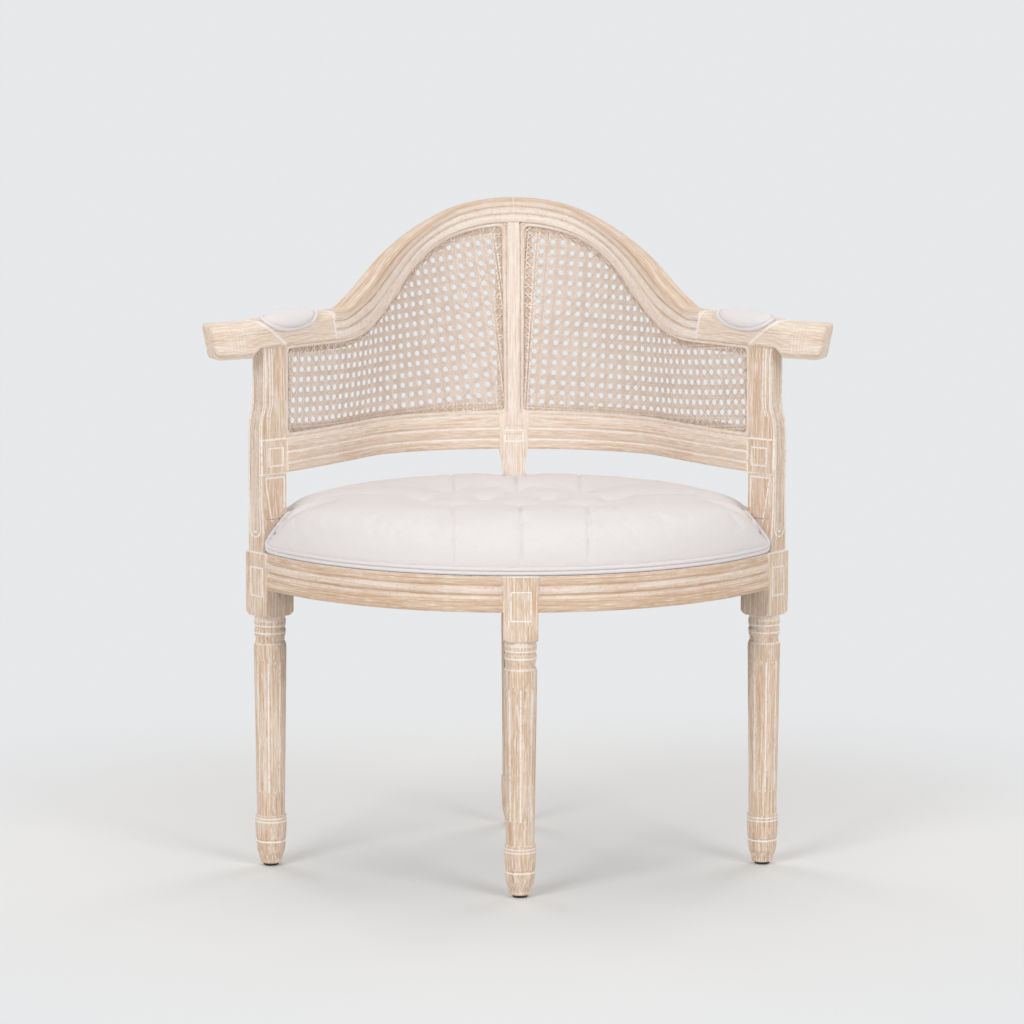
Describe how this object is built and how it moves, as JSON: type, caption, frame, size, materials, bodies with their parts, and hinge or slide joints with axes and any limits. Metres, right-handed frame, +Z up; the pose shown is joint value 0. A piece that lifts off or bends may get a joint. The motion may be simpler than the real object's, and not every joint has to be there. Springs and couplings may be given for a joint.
{
  "type": "corner chair",
  "caption": "Corner chair with a bowed diamond seat, turned and fluted legs, a wrap-round caned back that ends in padded arms, and a deep buttoned cushion.",
  "frame": {"origin": "on the floor, under the middle of the chair's outline seen from above", "axes": "+Z up; -Y towards the front leg, the way the sitter faces; +X towards the right leg as seen from the front"},
  "size_m": [0.7744, 0.523, 0.809],
  "materials": {
    "oak": "limewashed and waxed, white paint rubbed into the grooves",
    "raw_oak": "bare, sanded",
    "glide": "dark, dull",
    "screw": "zinc",
    "cane": "six-way woven cane, limewashed",
    "spline": "reed, limewashed",
    "linen": "off-white plain-weave linen",
    "board": "bare plywood",
    "foam": "bare foam",
    "dust_cloth": "black spun cloth"
  },
  "bodies": {
    "root": {"front_leg": "oak", "left_leg": "oak", "right_leg": "oak", "back_leg": "oak", "front_glide": "glide", "left_glide": "glide", "right_glide": "glide", "back_glide": "glide", "front_left_rail": "oak", "front_right_rail": "oak", "back_left_rail": "oak", "back_right_rail": "oak", "front_brace": "raw_oak", "left_brace": "raw_oak", "right_brace": "raw_oak", "back_brace": "raw_oak", "brace_screws": "screw", "left_post": "oak", "right_post": "oak", "centre_stile": "oak", "left_low_rail": "oak", "right_low_rail": "oak", "left_crest": "oak", "right_crest": "oak", "left_arm": "oak", "right_arm": "oak", "dowels": "raw_oak", "left_cane": "cane", "right_cane": "cane", "left_spline": "spline", "right_spline": "spline", "left_arm_pad": "linen", "right_arm_pad": "linen", "left_pad_piping": "linen", "right_pad_piping": "linen", "seat_board": "board", "seat_foam": "foam", "seat_cushion": "linen", "seat_welt": "linen", "tuft_buttons": "linen", "dust_cover": "dust_cloth"}
  },
  "joints": []
}
